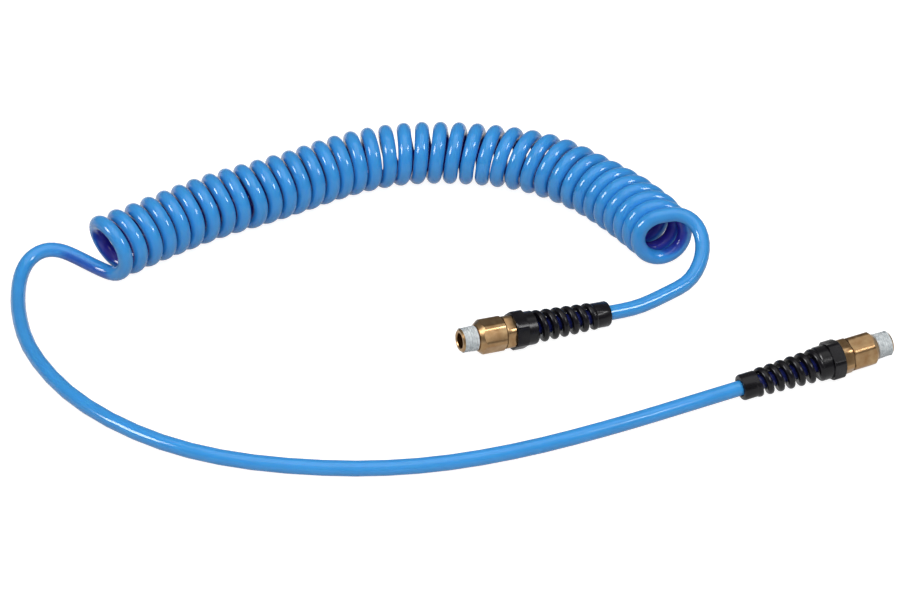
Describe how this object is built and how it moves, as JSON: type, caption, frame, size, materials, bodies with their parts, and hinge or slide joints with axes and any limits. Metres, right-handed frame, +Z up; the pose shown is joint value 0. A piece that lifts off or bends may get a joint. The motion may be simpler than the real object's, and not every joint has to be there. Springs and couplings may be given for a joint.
{
  "type": "coiled air hose",
  "caption": "Self-retracting spiral air hose of glossy tube with straight tails, brass swivel fittings with coated taper threads and black spiral bend guards.",
  "frame": {"origin": "centre of the footprint, on the surface that the hose lies on", "axes": "+Z up from the surface; +X to the right as the picture shows the hose, from the coil's tool end to its supply end; +Y away from the viewer"},
  "size_m": [0.4642, 0.2994, 0.036],
  "materials": {
    "blue_hose": "glossy, slightly translucent polyurethane",
    "brass": "machined, satin",
    "white_sealant": "dry matt thread coat",
    "black_nylon": "moulded, half-gloss",
    "black_rubber": "satin",
    "spring_steel": "drawn wire",
    "acetal": "plain"
  },
  "bodies": {
    "hose_assembly": {"hose_coil": "blue_hose", "supply_hose_tail": "blue_hose", "supply_union_body": "brass", "supply_clamp_ring": "brass", "supply_guard_nut": "black_nylon", "supply_pressure_seal": "black_rubber", "supply_dust_seal": "black_rubber", "supply_retaining_ring": "spring_steel", "supply_slip_washer": "acetal", "tool_hose_tail": "blue_hose", "tool_union_body": "brass", "tool_clamp_ring": "brass", "tool_guard_nut": "black_nylon", "tool_pressure_seal": "black_rubber", "tool_dust_seal": "black_rubber", "tool_retaining_ring": "spring_steel", "tool_slip_washer": "acetal"},
    "supply_swivel": {"supply_nipple": "brass", "supply_thread_sealant": "white_sealant"},
    "tool_swivel": {"tool_nipple": "brass", "tool_thread_sealant": "white_sealant"}
  },
  "joints": [
    {"name": "supply_swivel_turn", "type": "hinge", "parent": "hose_assembly", "child": "supply_swivel", "pos_m": [0.02485, -0.0408, 0.01156], "axis": [0.914, 0.3993, -0.0712], "continuous": true},
    {"name": "tool_swivel_turn", "type": "hinge", "parent": "hose_assembly", "child": "tool_swivel", "pos_m": [0.21309, -0.05675, 0.01177], "axis": [-0.9266, -0.3687, -0.0744], "continuous": true}
  ]
}
